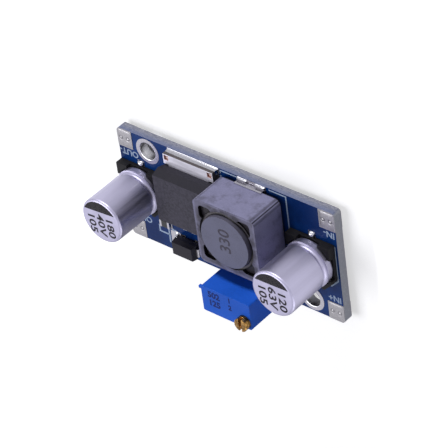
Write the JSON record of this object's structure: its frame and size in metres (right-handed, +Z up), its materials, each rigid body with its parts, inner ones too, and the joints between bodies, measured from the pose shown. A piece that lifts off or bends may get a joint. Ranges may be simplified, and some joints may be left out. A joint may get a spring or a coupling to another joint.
{
  "type": "boost converter module",
  "caption": "Blue circuit board that steps up a DC voltage, with a shielded choke, can capacitors, a tabbed regulator, a diode and a screw trimmer, held down at plated holes on a diagonal.",
  "frame": {"origin": "under the middle of the board, level with the tips of the trimmer's pins", "axes": "+X from the input end to the output end, +Y towards the trimmer's long side, +Z up out of the component side"},
  "size_m": [0.043, 0.021, 0.0138],
  "materials": {
    "solder_mask": "glossy blue mask",
    "tinned": "tinned copper",
    "solder": "bright solder",
    "can_metal": "satin",
    "black_moulding": "matt",
    "ferrite": "sintered grey ferrite",
    "winding_copper": "enamelled copper",
    "regulator_moulding": "fine-grained",
    "tab_metal": "tin-plated copper",
    "diode_moulding": "matt",
    "trimmer_plastic": "semi-gloss blue",
    "potting_resin": "cast resin",
    "screw_brass": "turned",
    "resistor_film": "glazed",
    "chip_ceramic": "fired ceramic"
  },
  "bodies": {
    "module": {"circuit_board": "solder_mask", "input_negative_pad": "tinned", "input_positive_pad": "tinned", "output_negative_pad": "tinned", "output_positive_pad": "tinned", "input_mount_ring": "tinned", "output_mount_ring": "tinned", "solder_lands": "tinned", "input_capacitor_can": "can_metal", "input_capacitor_base": "black_moulding", "input_capacitor_terminals": "tinned", "output_capacitor_can": "can_metal", "output_capacitor_base": "black_moulding", "output_capacitor_terminals": "tinned", "choke_shield": "ferrite", "choke_core": "ferrite", "choke_winding": "winding_copper", "choke_wire_ends": "winding_copper", "choke_base": "black_moulding", "choke_terminals": "tinned", "regulator_body": "regulator_moulding", "regulator_tab": "tab_metal", "regulator_leads": "tinned", "diode_body": "diode_moulding", "diode_terminals": "tinned", "trimmer_housing": "trimmer_plastic", "trimmer_potting": "potting_resin", "trimmer_pins": "tinned", "trimmer_solder": "solder", "feedback_resistor": "resistor_film", "compensation_capacitor": "chip_ceramic"},
    "adjusting_screw": {"trimmer_screw": "screw_brass"}
  },
  "joints": [
    {"name": "screw_turn", "type": "hinge", "parent": "module", "child": "adjusting_screw", "pos_m": [-0.01026, 0.00785, 0.013], "axis": [0, 0, 1], "continuous": true}
  ]
}
